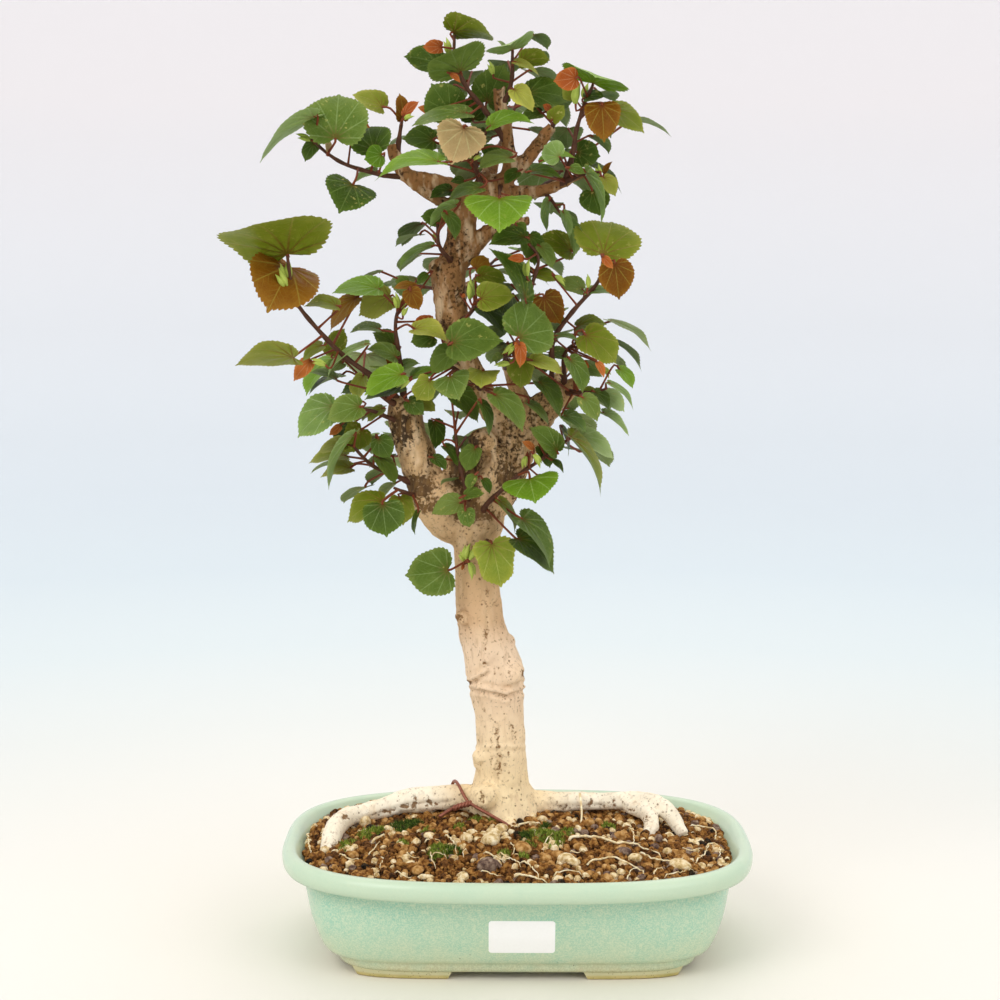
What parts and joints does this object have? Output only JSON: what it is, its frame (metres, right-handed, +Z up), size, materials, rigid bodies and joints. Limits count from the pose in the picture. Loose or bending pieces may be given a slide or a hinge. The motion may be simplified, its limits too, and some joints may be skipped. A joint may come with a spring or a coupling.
{
  "type": "potted bonsai tree",
  "caption": "Upright broadleaf bonsai with toothed heart-shaped leaves, surface roots in granular soil and a glazed oval pot on feet.",
  "frame": {"origin": "middle of the whole object's box, at the bottom of the feet", "axes": "+Z up, +X to the right as seen from the front, +Y away from the viewer"},
  "size_m": [0.2724, 0.2104, 0.4881],
  "materials": {
    "celadon_glaze": "gloss",
    "soil": "matte",
    "bark": "matte",
    "copper_wire": "satin",
    "label": "satin",
    "screen_plastic": "matte",
    "foliage": "satin"
  },
  "bodies": {
    "root": {"pot": "celadon_glaze", "drain_screen_left": "screen_plastic", "drain_screen_right": "screen_plastic", "soil": "soil", "tree": "bark", "tie_wire": "copper_wire", "blank_label": "label", "leaf_crown_front_bright": "foliage", "shoot_back_crown": "foliage", "shoot_back_crown_left": "foliage", "shoot_back_crown_right": "foliage", "shoot_back_leader": "foliage", "shoot_back_leader_left": "foliage", "shoot_back_left": "foliage", "shoot_back_left_low": "foliage", "shoot_back_right": "foliage", "shoot_back_right_low": "foliage", "shoot_back_trunk": "foliage", "shoot_centre": "foliage", "shoot_centre_front": "foliage", "shoot_centre_left": "foliage", "shoot_centre_right": "foliage", "shoot_crown_front": "foliage", "shoot_crown_left_tip": "foliage", "shoot_crown_right": "foliage", "shoot_crown_right_low": "foliage", "shoot_crown_stub": "foliage", "shoot_crown_top": "foliage", "shoot_crown_top_left": "foliage", "shoot_crown_top_right": "foliage", "shoot_far_left": "foliage", "shoot_far_left_arm": "foliage", "shoot_leader_left": "foliage", "shoot_left_hanging": "foliage", "shoot_left_low": "foliage", "shoot_left_mid": "foliage", "shoot_left_outer": "foliage", "shoot_left_upright": "foliage", "shoot_right_branch": "foliage", "shoot_right_low": "foliage", "shoot_right_tall": "foliage", "shoot_right_upright_low": "foliage", "sprout_crotch": "foliage", "sprout_trunk_front": "foliage", "sprout_trunk_left": "foliage"}
  },
  "joints": []
}
